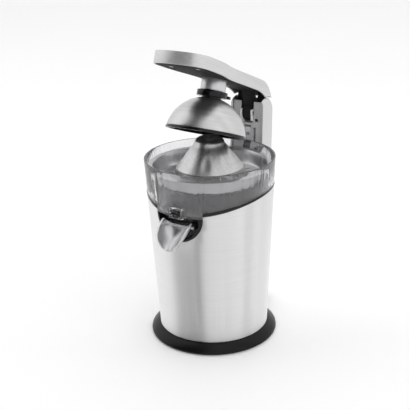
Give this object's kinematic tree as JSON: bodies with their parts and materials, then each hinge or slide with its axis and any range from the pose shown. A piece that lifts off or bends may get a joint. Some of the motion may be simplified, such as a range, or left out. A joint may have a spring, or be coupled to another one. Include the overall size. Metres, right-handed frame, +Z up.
{
  "type": "citrus press juicer",
  "caption": "Lever-operated electric citrus press: steel body with motor and gears, clear juice bowl, strainer, reamer cone, hinged lever with press dome and a fold-up drip spout.",
  "frame": {"origin": "on the reamer's axis, in the plane that the rubber foot ring stands on", "axes": "+Z up, -Y towards the drip spout (front), +X to the juicer's own left"},
  "size_m": [0.1608, 0.2253, 0.3722],
  "materials": {
    "black_plastic": "semi-gloss moulded black plastic",
    "black_trim": "glossy black trim",
    "dark_plastic": "matt moulded dark grey plastic",
    "charcoal_plastic": "fine textured charcoal plastic",
    "carriage_plastic": "light grey moulded plastic",
    "grey_panel": "mid grey fine textured plastic",
    "gear_plastic": "natural acetal",
    "clear_bowl": "clear, slightly smoky plastic",
    "brushed_sleeve": "brushed round the body",
    "polished_steel": "pressed stainless sheet",
    "reamer_steel": "pressed stainless, brushed down the flutes",
    "dome_steel": "spun stainless, fine turned brushing",
    "motor_steel": "zinc plated sheet",
    "silver_shell": "satin silver paint",
    "satin_spout": "satin silver",
    "screw_steel": "bright zinc",
    "spring_steel": "drawn spring wire",
    "bronze": "sintered bronze",
    "rubber": "black rubber"
  },
  "bodies": {
    "root": {"base_ring": "black_plastic", "base_plate": "black_plastic", "base_screws": "screw_steel", "foot_ring": "rubber", "cord_inlet": "rubber", "body_sleeve": "brushed_sleeve", "deck_trim": "black_trim", "motor_deck": "black_plastic", "spindle_bush": "bronze", "shaft_seal": "rubber", "spout_shield": "black_plastic", "spout_pin": "screw_steel", "chassis": "dark_plastic", "gear_case": "dark_plastic", "gear_cover": "dark_plastic", "case_screws": "screw_steel", "motor_can": "motor_steel", "motor_screws": "screw_steel", "motor_end_cap": "dark_plastic", "idler_axle": "screw_steel", "return_spring": "spring_steel", "micro_switch": "black_plastic", "juice_bowl": "clear_bowl", "strainer": "polished_steel", "column_shell": "silver_shell", "column_panel": "grey_panel", "column_foot": "black_plastic", "column_screws": "screw_steel", "hinge_bushes": "bronze", "hinge_pin": "screw_steel", "guide_rods": "screw_steel", "lift_springs": "spring_steel"},
    "spout": {"drip_spout": "satin_spout"},
    "output": {"output_gear": "gear_plastic", "gear_circlip": "screw_steel"},
    "idler": {"idler_gear": "gear_plastic"},
    "pinion": {"motor_pinion": "screw_steel"},
    "thrust": {"thrust_button": "gear_plastic"},
    "reamer": {"drive_spindle": "screw_steel", "reamer_cone": "reamer_steel", "reamer_hub": "black_plastic"},
    "plunger": {"switch_plunger": "gear_plastic"},
    "carriage": {"lift_carriage": "carriage_plastic", "carriage_screw": "screw_steel"},
    "lever": {"arm_shell": "silver_shell", "arm_underside": "charcoal_plastic", "crank_pin": "screw_steel", "arm_screws": "screw_steel", "cup_neck": "satin_spout", "neck_bolt": "screw_steel"},
    "press_cup": {"cup_collar": "black_trim", "press_dome": "dome_steel", "dome_liner": "dark_plastic", "dome_rim_trim": "black_trim"}
  },
  "joints": [
    {"name": "arm_hinge", "type": "hinge", "parent": "root", "child": "lever", "pos_m": [0, 0.105, 0.262], "axis": [-1, 0, 0], "range_deg": [-21.5, 40]},
    {"name": "carriage_slide", "type": "slide", "parent": "root", "child": "carriage", "axis": [0, 0, 1], "range_m": [-0.0034, 0.0063], "deforming": ["lift_springs"]},
    {"name": "cup_twist", "type": "hinge", "parent": "lever", "child": "press_cup", "pos_m": [0, 0.0106, 0.30886], "axis": [0, 0.3665, 0.9304], "range_deg": [0, 25]},
    {"name": "spindle_press", "type": "slide", "parent": "root", "child": "thrust", "axis": [0, 0, -1], "range_m": [0, 0.003], "stiffness_N_per_m": 2500, "springref_m": -0.004, "deforming": ["return_spring"]},
    {"name": "reamer_spin", "type": "hinge", "parent": "thrust", "child": "reamer", "pos_m": [0, 0, 0.2], "axis": [0, 0, 1], "continuous": true},
    {"name": "output_gear_spin", "type": "hinge", "parent": "root", "child": "output", "pos_m": [0, 0, 0.157], "axis": [0, 0, 1], "continuous": true},
    {"name": "idler_spin", "type": "hinge", "parent": "root", "child": "idler", "pos_m": [-0.035, 0, 0.15], "axis": [0, 0, 1], "continuous": true},
    {"name": "pinion_spin", "type": "hinge", "parent": "root", "child": "pinion", "pos_m": [-0.02723, 0.02898, 0.146], "axis": [0, 0, 1], "continuous": true},
    {"name": "plunger_slide", "type": "slide", "parent": "root", "child": "plunger", "axis": [0, 0, -1], "range_m": [0, 0.003]},
    {"name": "spout_flip", "type": "hinge", "parent": "root", "child": "spout", "pos_m": [0, -0.0785, 0.169], "axis": [-1, 0, 0], "range_deg": [0, 50]}
  ],
  "couplings": [
    {"joint": "carriage_slide", "follows": "arm_hinge", "m_per_rad": 0.009},
    {"joint": "plunger_slide", "follows": "spindle_press", "ratio": 1},
    {"joint": "output_gear_spin", "follows": "reamer_spin", "ratio": 1},
    {"joint": "idler_spin", "follows": "reamer_spin", "ratio": -4},
    {"joint": "pinion_spin", "follows": "reamer_spin", "ratio": 16}
  ]
}
